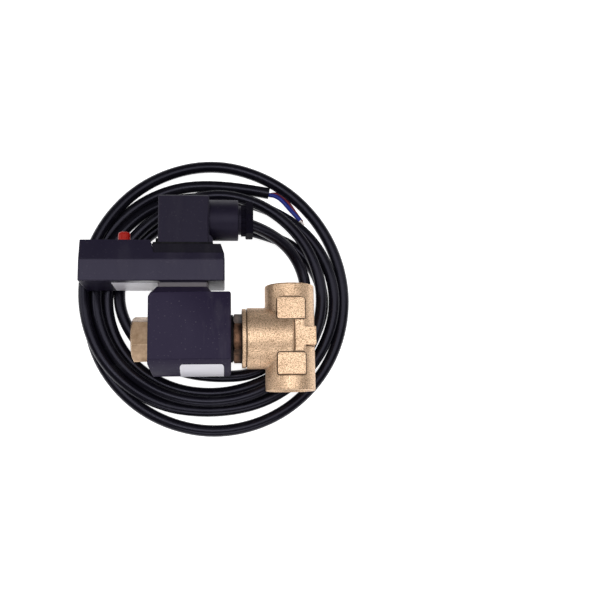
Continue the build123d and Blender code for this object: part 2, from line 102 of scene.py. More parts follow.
camera = new_object("camera", bpy.data.cameras.new("camera"))
camera.data.lens = 50.0
camera.data.sensor_width = 36.0
camera.data.clip_start, camera.data.clip_end = 0.01, 20.0
sight_back = Vector(SIGHT_BACK).normalized()
sight_up = sight_back.cross(Vector(SIGHT_RIGHT).normalized()).normalized()
sight_right = sight_up.cross(sight_back)
camera.matrix_world = Matrix.Translation(at(*CAMERA_PLACE)) @ Matrix(
    (sight_right, sight_up, sight_back)).transposed().to_4x4()
bpy.context.scene.camera = camera


# ---------------------------------------------------------------- modelling helpers

MERGE = 1e-6                                     # corners nearer than this are one corner
ALONG_X, ALONG_Y = Vector((1, 0, 0)), Vector((0, 1, 0))


def pick_nothing():
    if bpy.context.object and bpy.context.object.mode != "OBJECT":
        bpy.ops.object.mode_set(mode="OBJECT")
    bpy.ops.object.select_all(action="DESELECT")


def pick(*objects):
    pick_nothing()
    for one in objects:
        one.select_set(True)
    bpy.context.view_layer.objects.active = objects[0]


def settle(piece):
    """Leaves the object at the origin, with its place in its mesh."""
    pick(piece)
    bpy.ops.object.transform_apply(location=True, rotation=True, scale=True)
    return piece


def bar(name, radius, start, end, vertices=96):
    """Closed cylinder between two places."""
    pick_nothing()
    way = end - start
    bpy.ops.mesh.primitive_cylinder_add(vertices=vertices, radius=radius, depth=way.length,
                                        location=(start + end) / 2,
                                        rotation=way.to_track_quat("Z", "Y").to_euler())
    bpy.context.object.name = name
    return settle(bpy.context.object)


def brick(name, low, high):
    pick_nothing()
    bpy.ops.mesh.primitive_cube_add(size=1.0, location=(low + high) / 2)
    piece = bpy.context.object
    piece.name = name
    piece.scale = high - low
    return settle(piece)


def turned_brick(name, low, high, pivot, degrees):
    """Brick turned about an axis along Z through the pivot."""
    piece = brick(name, low, high)
    turn = Matrix.Rotation(radians(degrees), 4, "Z")
    piece.data.transform(Matrix.Translation(pivot) @ turn @ Matrix.Translation(-pivot))
    return piece


def apply_modifiers(piece):
    pick(piece)
    for name in [m.name for m in piece.modifiers]:
        bpy.ops.object.modifier_apply(modifier=name)
    return piece


def cut(piece, tool, operation="DIFFERENCE"):
    """Boolean with a tool that is then thrown away."""
    step = piece.modifiers.new("cut", "BOOLEAN")
    step.operation = operation
    step.solver = "EXACT"
    step.object = tool
    apply_modifiers(piece)
    bpy.data.objects.remove(tool, do_unlink=True)
    return piece


def rounded(piece, width, segments=3, angle=30):
    step = piece.modifiers.new("round", "BEVEL")
    step.width = width
    step.segments = segments
    step.limit_method = "ANGLE"
    step.angle_limit = radians(angle)
    return apply_modifiers(piece)


def joined(name, *pieces):
    pick(*pieces)
    bpy.ops.object.join()
    pieces[0].name = name
    return pieces[0]


def remeshed(piece, voxel, passes):
    """One closed skin over everything in the piece, softened."""
    step = piece.modifiers.new("skin", "REMESH")
    step.mode = "VOXEL"
    step.voxel_size = voxel
    soften = piece.modifiers.new("soften", "SMOOTH")
    soften.iterations = passes
    return apply_modifiers(piece)


def smooth(piece, angle=35):
    pick(piece)
    bpy.ops.object.shade_smooth_by_angle(angle=radians(angle))
    return piece


def even_shading(piece, angle=35):
    """Smooth shading in which large flat faces stay flat."""
    smooth(piece, angle)
    step = piece.modifiers.new("weigh", "WEIGHTED_NORMAL")
    step.keep_sharp = True
    return apply_modifiers(piece)


def merge_corners(piece, threshold):
    """Merges doubled corners and turns the faces outward."""
    pick(piece)
    bpy.ops.object.mode_set(mode="EDIT")
    bpy.ops.mesh.select_all(action="SELECT")
    bpy.ops.mesh.remove_doubles(threshold=threshold)
    bpy.ops.mesh.normals_make_consistent(inside=False)
    bpy.ops.object.mode_set(mode="OBJECT")
    return piece


def turned_piece(name, profile, axis_point, steps, axis):
    """Solid of revolution about an axis along X or Y.

    The profile lists (place along the axis, radius), in millimetres.
    """
    points = [axis_point + Vector((along * MM * axis.x, along * MM * axis.y, radius * MM))
              for along, radius in profile]
    mesh = bpy.data.meshes.new(name)
    mesh.from_pydata(points, [(i, i + 1) for i in range(len(points) - 1)], [])
    piece = new_object(name, mesh)
    pick(piece)
    bpy.ops.object.mode_set(mode="EDIT")
    bpy.ops.mesh.select_all(action="SELECT")
    bpy.ops.mesh.spin(steps=steps, angle=2 * pi, center=axis_point, axis=axis)
    bpy.ops.object.mode_set(mode="OBJECT")
    return merge_corners(piece, MERGE)


# ---------------------------------------------------------------- cord

CORD_RADIUS = 3.4 * MM
COIL_CENTRE = (-43.13, 26.77)
ON_FLOOR = -25.4                                 # height of the cord's centre where it rests on the floor
CUT_ANGLE, CUT_RADIUS = 27.5, 73.2               # the cut end, about the coil's centre
# From the gland to the coil, in millimetres about the solenoid's axis.
LEAD = [(-44.5, 67.9, 0.0), (-29.0, 67.9, 0.0), (-13.5, 63.6, -4.4), (-0.2, 56.2, -11.0),
        (8.2, 45.0, -16.2), (11.9, 31.0, -18.6), (7.2, 14.7, -22.2), (-1.1, -4.0, -25.2)]
# Loose turns: (radius, height of the cord's centre) at each step of so many degrees round the coil.
COIL_STEP = 30
FIRST_ANGLE = 150
TURNS = [
    (51.9, -25.4), (46.5, -25.4), (48.0, -25.4), (52.3, -25.4), (57.1, -25.4), (56.4, -25.4),
    (55.0, -25.4), (46.1, -25.4), (48.1, -25.4), (61.7, -25.0), (68.7, -25.4), (65.0, -25.4),
    (58.4, -25.4), (57.3, -25.4), (59.5, -25.4), (62.6, -25.4), (63.9, -23.8), (60.6, -20.4),
    (59.5, -19.1), (63.9, -18.6), (64.4, -18.7), (64.9, -18.6), (66.1, -18.5), (65.6, -18.8),
    (63.3, -19.9), (62.3, -20.4), (64.5, -20.6), (67.7, -20.5), (69.8, -19.9), (69.1, -21.5),
    (67.3, -24.5), (62.9, -25.4), (65.5, -25.0), (71.4, -23.2), (74.9, -22.1), (73.2, -23.8),
    (69.7, -25.4), (67.3, -25.4), (71.2, -22.7), (74.5, -18.7), (76.5, -18.8), (78.9, -19.9),
    (82.0, -22.6), (84.4, -25.1), (82.3, -25.4), (80.4, -25.4), (80.3, -25.4), (80.6, -25.4),
    (80.6, -25.4), (80.0, -25.4), (78.5, -25.4), (77.0, -25.4), (74.7, -25.4), (75.8, -25.4),
    (73.8, -25.4), (71.5, -25.4)]


def curve_piece(name, points, radius, sides):
    """One NURBS spline through the given control points, in metres."""
    line = bpy.data.curves.new(name, "CURVE")
    line.dimensions = "3D"
    line.bevel_depth = radius
    line.bevel_resolution = sides
    line.resolution_u = 10
    line.use_fill_caps = True
    spline = line.splines.new("NURBS")
    spline.points.add(len(points) - 1)
    for spot, place in zip(spline.points, points):
        spot.co = (*place, 1.0)
    spline.order_u = 3
    spline.use_endpoint_u = True
    return new_object(name, line)


def coil_place(angle, radius, height):
    turn = radians(angle)
    return at(COIL_CENTRE[0] + radius * sin(turn), COIL_CENTRE[1] + radius * cos(turn), height)


route = [at(*place) for place in LEAD]
for step, (radius, height) in enumerate(TURNS):
    route.append(coil_place(FIRST_ANGLE + step * COIL_STEP, radius, height))
route.append(coil_place(CUT_ANGLE, CUT_RADIUS, ON_FLOOR))
cord = curve_piece("cord", route, CORD_RADIUS, 6)

BROWN_RADIUS, BLUE_RADIUS = 1.05 * MM, 1.3 * MM
STRIP_RADIUS, STRIP_INSIDE, STRIP_BARE = 0.55 * MM, 1.0 * MM, 2.2 * MM
# Two insulated cores leave the cut jacket side by side and cross on their way to their stripped tips.
BLUE_ROUTE = [(-13.6, 92.2, -25.6), (-9.6, 90.9, -25.7), (-6.2, 90.6, -26.0), (-3.0, 89.1, -26.4),
              (0.1, 86.1, -26.6), (3.1, 82.2, -26.2), (6.0, 78.8, -25.7), (9.4, 75.2, -26.0)]
BROWN_ROUTE = [(-13.5, 91.8, -26.6), (-9.5, 91.4, -27.5), (-6.1, 92.3, -27.7), (-3.0, 91.8, -27.7),
               (0.1, 89.4, -27.7), (2.9, 86.2, -27.7), (5.0, 83.0, -27.7), (7.2, 79.6, -27.7),
               (10.8, 74.6, -27.7)]


def core_piece(name, places, radius):
    return curve_piece(name, [at(*place) for place in places], radius, 4)


brown_core = core_piece("brown_core", BROWN_ROUTE, BROWN_RADIUS)
blue_core = core_piece("blue_core", BLUE_ROUTE, BLUE_RADIUS)


def bare_tip(name, places):
    """Bright twisted strands past the end of a core's insulation."""
    last, before = at(*places[-1]), at(*places[-2])
    way = (last - before).normalized()
    tip = bar(name, STRIP_RADIUS, last - way * STRIP_INSIDE, last + way * STRIP_BARE, 16)
    return smooth(rounded(tip, 0.2 * MM, 2))


brown_tip = bare_tip("brown_core_tip", BROWN_ROUTE)
blue_tip = bare_tip("blue_core_tip", BLUE_ROUTE)


# ---------------------------------------------------------------- cast body and threads

def copy_of(node, name):
    """The CAD node's shape as a new piece, with its corners merged."""
    pick(nodes[node])
    bpy.ops.object.duplicate()
    piece = bpy.context.object
    piece.parent = None
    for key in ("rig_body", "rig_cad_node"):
        if key in piece:
            del piece[key]
    piece.name = name
    return merge_corners(piece, 0.002 * MM)


# The body, in millimetres about the solenoid's axis. The ports run along Y, with raised pads on both sides.
PORT_REACH, MOUTH_RADIUS, MOUTH_LENGTH = 29.5, 13.9, 5.5
BARREL_RADIUS = 13.5
LUG_LOW, LUG_HIGH = (5.0, -5.1, -14.1), (13.5, 5.1, 14.1)
PAD_CENTRE = 15.2
PAD_HALF_WIDTH, FRAME_HALF_WIDTH, FRAME_HALF_LENGTH = 7.8, 8.2, 6.4
GROOVE_WIDTH = 0.4
GROOVE_REACH = 17.0                              # grooves are cut from outside the body down to its barrel
LUG_GROOVE_X, LUG_GROOVE_Y = (7.9, 13.3), (5.1, 5.5)
BOSS_GROOVE_LOW, BOSS_GROOVE_HIGH = (1.4, -9.1, 13.8), (1.85, 9.1, 17.5)
RIM_GROOVE = (-24.75, -24.2)                     # ring round the boss, next to its end
RIM_INNER, RIM_OUTER = 16.0, 19.0
THREAD_PITCH, THREAD_MAJOR, THREAD_MINOR, THREAD_DEPTH = 1.814, 10.48, 9.35, 15.0
THREAD_START, THREAD_SPARE = 1.6, 2.4            # first turn's depth, and the length left without turns
SKIN_VOXEL = 0.4
SIDES = (1, -1)


def mouth_bar(side):
    start, end = at(0, side * (PORT_REACH - MOUTH_LENGTH), 0), at(0, side * PORT_REACH, 0)
    return rounded(bar("mouth", MOUTH_RADIUS * MM, start, end), 0.45 * MM, 2)


def pad_outline(side):
    """Frame as wide as the groove, round both pads of one port."""
    low, high = side * PAD_CENTRE - FRAME_HALF_LENGTH, side * PAD_CENTRE + FRAME_HALF_LENGTH
    outline = rounded(brick("outline", at(-FRAME_HALF_WIDTH, low, -GROOVE_REACH),
                            at(FRAME_HALF_WIDTH, high, GROOVE_REACH)), 1.4 * MM, 3)
    pad = rounded(brick("pad", at(-PAD_HALF_WIDTH, low + GROOVE_WIDTH, -GROOVE_REACH - 1.0),
                        at(PAD_HALF_WIDTH, high - GROOVE_WIDTH, GROOVE_REACH + 1.0)), 1.0 * MM, 3)
    return cut(outline, pad)


def lug_outline(side):
    low, high = sorted(side * edge for edge in LUG_GROOVE_Y)
    return brick("outline", at(LUG_GROOVE_X[0], low, -GROOVE_REACH), at(LUG_GROOVE_X[1], high, GROOVE_REACH))


def bore_tool(side):
    """Thread's outer bore with its chamfered mouth."""
    bottom = PORT_REACH - THREAD_DEPTH
    bore = [(PORT_REACH + 1.0, 0.0), (PORT_REACH + 1.0, 12.4), (PORT_REACH, 11.4),
            (PORT_REACH - 1.0, THREAD_MAJOR), (bottom, THREAD_MAJOR), (bottom, 0.0)]
    return turned_piece("bore", [(side * along, radius) for along, radius in bore], at(0, 0, 0), 96, ALONG_Y)


blank = joined("brass_casting", copy_of("valve_body", "blank"), brick("lug", at(*LUG_LOW), at(*LUG_HIGH)),
               *(mouth_bar(side) for side in SIDES))
casting = remeshed(blank, SKIN_VOXEL * MM, 2)
# Fine grooves set the pads, the lug and the boss off from the port.
for outline in [make(side) for side in SIDES for make in (pad_outline, lug_outline)]:
    cut(outline, bar("core", BARREL_RADIUS * MM, at(0, -40.0, 0), at(0, 40.0, 0)))
    cut(casting, outline)
cut(casting, brick("outline", at(*BOSS_GROOVE_LOW), at(*BOSS_GROOVE_HIGH)))
for side in SIDES:
    cut(casting, bore_tool(side))
near, far = RIM_GROOVE
cut(casting, turned_piece("groove", [(near, RIM_INNER), (near, RIM_OUTER), (far, RIM_OUTER), (far, RIM_INNER),
                                     (near, RIM_INNER)], at(0, 0, 0), 128, ALONG_X))
smooth(casting, 40)


def thread_piece(name, side):
    """Internal thread of a port: one ridge wound down the bore."""
    start = PORT_REACH - THREAD_START
    turns = int((THREAD_DEPTH - THREAD_SPARE) / THREAD_PITCH)
    root, crest = 0.85, 0.18                     # half widths of the ridge
    ridge = [(root, THREAD_MAJOR + 0.15), (crest, THREAD_MINOR), (-crest, THREAD_MINOR),
             (-root, THREAD_MAJOR + 0.15)]
    mesh = bpy.data.meshes.new(name)
    mesh.from_pydata([(0, (side * start + along) * MM, radius * MM) for along, radius in ridge],
                     [(0, 1), (1, 2), (2, 3), (3, 0)], [])
    piece = new_object(name, mesh)
    wind = piece.modifiers.new("wind", "SCREW")
    wind.axis = "Y"
    wind.angle = 2 * pi
    wind.screw_offset = -side * THREAD_PITCH * MM
    wind.iterations = turns
    wind.steps = wind.render_steps = 72
    wind.use_smooth_shade = True
    apply_modifiers(piece)
    bpy.ops.object.mode_set(mode="EDIT")
    bpy.ops.mesh.select_all(action="SELECT")
    bpy.ops.mesh.remove_doubles(threshold=MERGE)
    bpy.ops.mesh.fill_holes(sides=4)
    bpy.ops.mesh.select_all(action="SELECT")
    bpy.ops.mesh.normals_make_consistent(inside=False)
    bpy.ops.transform.translate(value=at(0, 0, 0))
    bpy.ops.object.mode_set(mode="OBJECT")
    return smooth(piece, 50)


threads = [thread_piece("inlet_thread", 1), thread_piece("outlet_thread", -1)]

# The housing's lower corner at the nut's end is square but for a small slant. A slice of the wall
# beside the corner, moved along X, makes it square.
SLICE_LOW, SLICE_HIGH, SLICE_MOVE = (-71.0, -30.0, -30.0), (-66.5, -13.5, 30.0), 6.4
SLANT_LOW, SLANT_HIGH = (-80.0, -24.0, -30.0), (-76.35, -13.0, 30.0)
SLANT_PIVOT, SLANT_DEGREES = (-76.35, -18.2, 0), 21

shell = copy_of("solenoid_housing", "coil_shell")
sleeve = copy_of("solenoid_housing", "sleeve")
cut(sleeve, brick("window", at(*SLICE_LOW), at(*SLICE_HIGH)), "INTERSECT")
for vertex in sleeve.data.vertices:
    vertex.co.x -= SLICE_MOVE * MM
cut(shell, sleeve, "UNION")
cut(shell, turned_brick("slant", at(*SLANT_LOW), at(*SLANT_HIGH), at(*SLANT_PIVOT), SLANT_DEGREES))
even_shading(shell, 30)


# ---------------------------------------------------------------- marks on the timer's panel

PANEL_Y = 53.1
DIAL_Z = -2.5
DIAL_TRAVEL, TICKS = 135, 11                     # degrees to each side, and ticks along the whole
LONG_TICK, SHORT_TICK = (0.22, 4.9, 6.6), (0.15, 4.9, 6.0)   # half width, inner radius, outer radius
TICK_HEIGHT = 0.06


def dial_scale(name, x, z, face):
    """Plain ticks round a dial, from one end of its travel to the other."""
    ticks = []
    for step in range(TICKS):
        turn = radians(-DIAL_TRAVEL + 2 * DIAL_TRAVEL // (TICKS - 1) * step)
        half_width, inner, outer = LONG_TICK if step % 5 == 0 else SHORT_TICK
        tick = brick(name, at(-half_width, 0, inner), at(half_width, TICK_HEIGHT, outer))
        for vertex in tick.data.vertices:
            place = vertex.co
            across, up = place.x, place.z
            vertex.co = at(x, face, z) + Vector((across * cos(turn) + up * sin(turn), place.y - AXIS_Y,
                                                 up * cos(turn) - across * sin(turn)))
        ticks.append(tick)
    return joined(name, *ticks)


off_scale = dial_scale("off_dial_scale", -106.0, DIAL_Z, PANEL_Y)
on_scale = dial_scale("on_dial_scale", -85.5, DIAL_Z, PANEL_Y + 0.15)


# ---------------------------------------------------------------- effects shared by materials

def place_node(tree, kind, inputs=None, **settings):
    node = tree.nodes.new(kind)
    for key, value in settings.items():
        setattr(node, key, value)
    for key, value in (inputs or {}).items():
        if isinstance(value, bpy.types.NodeSocket):
            tree.links.new(value, node.inputs[key])
        else:
            node.inputs[key].default_value = value
    return node


def effect(name, inputs, outputs):
    """Empty shader node group with named sockets: (name, kind, default)."""
    tree = bpy.data.node_groups.new(name, "ShaderNodeTree")
    for label, kind, value in inputs:
        socket = tree.interface.new_socket(label, in_out="INPUT", socket_type="NodeSocket" + kind)
        if value is not None:
            socket.default_value = value
    for label, kind in outputs:
        tree.interface.new_socket(label, in_out="OUTPUT", socket_type="NodeSocket" + kind)
    return tree, tree.nodes.new("NodeGroupInput").outputs, tree.nodes.new("NodeGroupOutput").inputs


def sums(tree, operation, first, second, clamp=False):
    return place_node(tree, "ShaderNodeMath", {0: first, 1: second}, operation=operation,
                      use_clamp=clamp).outputs[0]


def spread_of(tree, value, low, high, to_low=0.0, to_high=1.0):
    return place_node(tree, "ShaderNodeMapRange", {"Value": value, "From Min": low, "From Max": high,
                                                   "To Min": to_low, "To Max": to_high}).outputs[0]


def blend_colours(tree, share, first, second):
    return place_node(tree, "ShaderNodeMix", {0: share, 6: first, 7: second}, data_type="RGBA").outputs[2]


def speckle(tree, place, scale, detail=3.0, roughness=0.6):
    return place_node(tree, "ShaderNodeTexNoise", {"Vector": place, "Scale": scale, "Detail": detail,
                                                   "Roughness": roughness}).outputs[0]


def build_cast_skin():
    """Shot-blasted casting: pale tan metal with fine dark pits and slow changes of tone."""
    tree, given, out = effect("cast_skin", [
        ("Place", "Vector", None),
        ("Pale", "Color", (0.85, 0.62, 0.42, 1)), ("Dark", "Color", (0.3, 0.2, 0.1, 1)),
        ("Grain", "Float", 2300.0), ("Pitting", "Float", 0.95)],
        [("Color", "Color"), ("Roughness", "Float"), ("Height", "Float")])
    grain = speckle(tree, given["Place"], given["Grain"], 1.0, 0.6)
    coarse = speckle(tree, given["Place"], 700.0, 2.0, 0.6)
    tone = speckle(tree, given["Place"], 60.0, 3.0, 0.55)
    pits = spread_of(tree, grain, 0.58, 0.28)
    lumps = spread_of(tree, coarse, 0.46, 0.28)
    shade = sums(tree, "ADD", sums(tree, "MULTIPLY", pits, 0.95), sums(tree, "MULTIPLY", lumps, 0.2))
    shade = sums(tree, "ADD", shade, spread_of(tree, tone, 0.62, 0.3, 0.0, 0.15), True)
    share = sums(tree, "MULTIPLY", shade, given["Pitting"], True)
    tree.links.new(blend_colours(tree, share, given["Pale"], given["Dark"]), out["Color"])
    tree.links.new(spread_of(tree, share, 0.0, 1.0, 0.42, 0.6), out["Roughness"])
    tree.links.new(sums(tree, "ADD", sums(tree, "MULTIPLY", grain, 0.6), coarse), out["Height"])
    return tree


def build_moulded_skin():
    """Spark-eroded plastic: fine even grain, faint handling marks and dust."""
    tree, given, out = effect("moulded_skin", [
        ("Place", "Vector", None), ("Colour", "Color", (0.02, 0.02, 0.03, 1)), ("Marks", "Float", 0.4),
        ("Grain", "Float", 3200.0), ("Gloss low", "Float", 0.42), ("Gloss high", "Float", 0.6)],
        [("Color", "Color"), ("Roughness", "Float"), ("Height", "Float")])
    grain = speckle(tree, given["Place"], given["Grain"], 2.0, 0.5)
    stretched = place_node(tree, "ShaderNodeMapping", {"Vector": given["Place"], "Scale": (1.0, 0.28, 1.0)})
    cloud = speckle(tree, stretched.outputs[0], 60.0, 4.0, 0.6)
    dust = spread_of(tree, speckle(tree, given["Place"], 900.0, 0.0, 0.5), 0.74, 0.8)
    marks = spread_of(tree, cloud, 0.54, 0.78)
    share = sums(tree, "MULTIPLY", sums(tree, "ADD", sums(tree, "MULTIPLY", marks, 0.07),
                                        sums(tree, "MULTIPLY", dust, 0.05)), given["Marks"])
    tree.links.new(blend_colours(tree, share, given["Colour"], (0.75, 0.72, 0.74, 1)), out["Color"])
    rough = spread_of(tree, cloud, 0.3, 0.75, given["Gloss low"], given["Gloss high"])
    tree.links.new(rough, out["Roughness"])
    tree.links.new(grain, out["Height"])
    return tree


def build_turned_skin():
    """Turned or drawn metal: fine rings about one axis, tarnish and small scratches."""
    tree, given, out = effect("turned_skin", [
        ("Place", "Vector", None),
        ("Bright", "Color", (0.8, 0.6, 0.35, 1)), ("Tarnish", "Color", (0.4, 0.27, 0.15, 1)),
        ("Rings", "Float", 2600.0), ("Age", "Float", 0.4)],
        [("Color", "Color"), ("Roughness", "Float"), ("Height", "Float")])
    along = place_node(tree, "ShaderNodeSeparateXYZ", {0: given["Place"]}).outputs[0]
    wound = sums(tree, "MULTIPLY", along, given["Rings"])
    lines = place_node(tree, "ShaderNodeTexNoise", {"W": wound, "Scale": 1.0, "Detail": 3.0},
                       noise_dimensions="1D").outputs[0]
    cloud = speckle(tree, given["Place"], 130.0, 4.0, 0.65)
    share = sums(tree, "MULTIPLY", spread_of(tree, cloud, 0.35, 0.7), given["Age"], True)
    tree.links.new(blend_colours(tree, share, given["Bright"], given["Tarnish"]), out["Color"])
    tree.links.new(sums(tree, "ADD", spread_of(tree, lines, 0.3, 0.7, 0.2, 0.34),
                        sums(tree, "MULTIPLY", share, 0.25)), out["Roughness"])
    tree.links.new(lines, out["Height"])
    return tree


def build_rubber_skin():
    """Extruded or moulded soft plastic: near-smooth, with faint scuffs and dust."""
    tree, given, out = effect("rubber_skin", [
        ("Place", "Vector", None), ("Colour", "Color", (0.01, 0.01, 0.012, 1)), ("Scuffs", "Float", 0.3),
        ("Gloss low", "Float", 0.3), ("Gloss high", "Float", 0.5)],
        [("Color", "Color"), ("Roughness", "Float"), ("Height", "Float")])
    fine = speckle(tree, given["Place"], 1500.0, 3.0, 0.6)
    cloud = speckle(tree, given["Place"], 90.0, 4.0, 0.65)
    share = sums(tree, "MULTIPLY", spread_of(tree, cloud, 0.5, 0.8, 0.0, 0.12), given["Scuffs"])
    tree.links.new(blend_colours(tree, share, given["Colour"], (0.7, 0.7, 0.72, 1)), out["Color"])
    rough = spread_of(tree, cloud, 0.3, 0.7, given["Gloss low"], given["Gloss high"])
    tree.links.new(rough, out["Roughness"])
    tree.links.new(fine, out["Height"])
    return tree


def build_soft_edges():
    """Edges shade as if slightly rounded; Edge is 1 on them."""
    tree, given, out = effect("soft_edges", [("Width", "Float", 0.0003)],
                              [("Normal", "Vector"), ("Edge", "Float")])
    eased = place_node(tree, "ShaderNodeBevel", {"Radius": given["Width"]}, samples=4).outputs[0]
    flat = place_node(tree, "ShaderNodeNewGeometry").outputs["Normal"]
    turn = place_node(tree, "ShaderNodeVectorMath", {0: eased, 1: flat}, operation="DOT_PRODUCT")
    tree.links.new(spread_of(tree, turn.outputs["Value"], 0.99, 0.8), out["Edge"])
    tree.links.new(eased, out["Normal"])
    return tree


def build_crevice_shade():
    """Mask for painted shade: 1 where surfaces meet closely and shade falls, 0 in the open."""
    tree, given, out = effect("crevice_shade", [("Reach", "Float", 0.001)], [("Mask", "Float")])
    open_share = place_node(tree, "ShaderNodeAmbientOcclusion", {"Distance": given["Reach"]}, samples=8)
    tree.links.new(spread_of(tree, open_share.outputs["AO"], 0.93, 0.62), out["Mask"])
    return tree


cast_skin, moulded_skin = build_cast_skin(), build_moulded_skin()
turned_skin, rubber_skin = build_turned_skin(), build_rubber_skin()
soft_edges, crevice_shade = build_soft_edges(), build_crevice_shade()


# ---------------------------------------------------------------- materials

def finish(name, skin, values, bump=0.1, depth=0.00005, edge=0.0003, dirt=None, reach=0.001, worn=None,
           **shader_values):
    """Material that takes colour, roughness and bump from one of the skins.

    The crevice colour is painted shade laid where surfaces meet closely; the edge colour is a painted
    highlight along its edges.
    """
    material = bpy.data.materials.new(name)
    material.use_nodes = True
    tree = material.node_tree
    shader = tree.nodes["Principled BSDF"]
    place = tree.nodes.new("ShaderNodeTexCoord").outputs["Object"]
    surface = place_node(tree, "ShaderNodeGroup", node_tree=skin)
    tree.links.new(place, surface.inputs["Place"])
    for key, value in values.items():
        surface.inputs[key].default_value = value
    relief = place_node(tree, "ShaderNodeBump", {"Strength": bump, "Distance": depth,
                                                 "Height": surface.outputs["Height"]})
    if edge:
        edges = place_node(tree, "ShaderNodeGroup", node_tree=soft_edges)
        edges.inputs["Width"].default_value = edge
        tree.links.new(edges.outputs["Normal"], relief.inputs["Normal"])
    colour = surface.outputs["Color"]
    # Painted highlight: a pale colour laid along the edges.
    if worn:
        colour = blend_colours(tree, edges.outputs["Edge"], colour, (*worn, 1))
    # Painted shade: a dark colour laid where surfaces meet closely.
    if dirt:
        shade_mask_node = place_node(tree, "ShaderNodeGroup", node_tree=crevice_shade)
        shade_mask_node.inputs["Reach"].default_value = reach
        colour = blend_colours(tree, shade_mask_node.outputs["Mask"], colour, (*dirt, 1))
    tree.links.new(colour, shader.inputs["Base Color"])
    tree.links.new(surface.outputs["Roughness"], shader.inputs["Roughness"])
    tree.links.new(relief.outputs[0], shader.inputs["Normal"])
    for key, value in shader_values.items():
        shader.inputs[key.replace("_", " ")].default_value = value
    return material


def moulded(name, colour, marks=0.4, low=0.42, high=0.58, bump=0.12, tint=(0.80, 0.75, 1.0), **more):
    values = {"Colour": (*colour, 1), "Marks": marks, "Gloss low": low, "Gloss high": high}
    return finish(name, moulded_skin, values, bump=bump, Specular_Tint=(*tint, 1), **more)


def rubber(name, colour, scuffs=0.3, low=0.35, high=0.5, **more):
    values = {"Colour": (*colour, 1), "Scuffs": scuffs, "Gloss low": low, "Gloss high": high}
    return finish(name, rubber_skin, values, **more)


def metal(name, bright, tarnish, rings=2600.0, age=0.4, purity=1.0, **more):
    values = {"Bright": (*bright, 1), "Tarnish": (*tarnish, 1), "Rings": rings, "Age": age}
    return finish(name, turned_skin, values, Metallic=purity, **more)


# Cast brass, with painted shade laid in the tight hollows round its pads, grooves and boss.
cast_brass = finish("cast_brass", cast_skin,
                    {"Pale": (0.98, 0.71, 0.48, 1), "Dark": (0.20, 0.080, 0.026, 1)}, bump=0.6, depth=0.00015,
                    edge=0.0004, dirt=(0.05, 0.026, 0.013), reach=0.0012, Metallic=0.75)
# Turned brass for the coil nut and threads, with painted shade in its hollows and a painted highlight along
# its edges.
turned_brass = metal("turned_brass", (0.58, 0.41, 0.28), (0.26, 0.165, 0.095), age=0.9, bump=0.2,
                     dirt=(0.05, 0.03, 0.016), worn=(0.95, 0.78, 0.58))
# Tarnished brass made much darker still, near black, as painted shade for the bonnet nut, which lies in
# shadow between the body and the coil; its wide crevice colour is painted shade too.
shaded_bonnet_brass = metal("shaded_bonnet_brass", (0.22, 0.115, 0.07), (0.02, 0.010, 0.006), age=1.0, bump=0.25,
                     purity=0.6, dirt=(0.008, 0.005, 0.004), reach=0.004, Specular_IOR_Level=0.05)
bright_steel = metal("bright_steel", (0.62, 0.62, 0.63), (0.42, 0.42, 0.43))
zinc_steel = metal("zinc_steel", (0.55, 0.57, 0.60), (0.38, 0.39, 0.42), age=0.6)
winding_copper = metal("winding_copper", (0.62, 0.30, 0.16), (0.35, 0.14, 0.06), rings=9000.0, bump=0.5)
strand_copper = metal("strand_copper", (0.86, 0.80, 0.76), (0.60, 0.50, 0.46), rings=6000.0, bump=0.4)
coil_plastic = moulded("coil_plastic", (0.021, 0.0155, 0.038), marks=0.8, low=0.48, high=0.62, edge=0.0005,
                       Specular_IOR_Level=0.2)
timer_plastic = moulded("timer_plastic", (0.0115, 0.0090, 0.022), marks=0.3, low=0.3, high=0.4, edge=0.0003,
                        Specular_IOR_Level=0.34)
pedestal_plastic = moulded("pedestal_plastic", (0.0028, 0.0022, 0.005), marks=0.2, edge=0.0003,
                           Specular_IOR_Level=0.15)
plug_plastic = moulded("plug_plastic", (0.0105, 0.0082, 0.019), marks=0.25, edge=0.0004,
                       Specular_IOR_Level=0.22)
gland_plastic = moulded("gland_plastic", (0.0045, 0.0036, 0.0082), marks=0.15, low=0.62, high=0.78,
                        edge=0.0002, Specular_IOR_Level=0.05)
inner_plastic = moulded("inner_plastic", (0.05, 0.05, 0.055), marks=0.2)
bobbin_plastic = moulded("bobbin_plastic", (0.55, 0.50, 0.40), marks=0.2)
board_mask = moulded("board_mask", (0.03, 0.16, 0.06), marks=0.1, low=0.3, high=0.4)
board_plastic = moulded("board_plastic", (0.03, 0.03, 0.035), marks=0.3)
button_plastic = moulded("button_plastic", (0.42, 0.009, 0.006), marks=0.0, low=0.26, high=0.36,
                         bump=0.04, edge=0, tint=(1.0, 0.6, 0.5), Specular_IOR_Level=0.25)
dial_plastic = moulded("dial_plastic", (0.012, 0.012, 0.014), marks=0.3)
lamp_plastic = moulded("lamp_plastic", (0.30, 0.015, 0.012), marks=0.0, low=0.1, high=0.16, bump=0.02)
grey_rubber = rubber("grey_rubber", (0.14, 0.125, 0.14), 0.4, 0.5, 0.7)
black_rubber = rubber("black_rubber", (0.0045, 0.0042, 0.006), 0.3, 0.6, 0.8, edge=0,
                      Specular_IOR_Level=0.1)
label_film = rubber("label_film", (0.94, 0.92, 1.0), 0.5, 0.3, 0.4, edge=0)
scale_print = rubber("scale_print", (0.62, 0.62, 0.64), 0.3, 0.5, 0.6, edge=0)
dark_print = rubber("dark_print", (0.03, 0.03, 0.035), 0.3, 0.5, 0.6, edge=0)
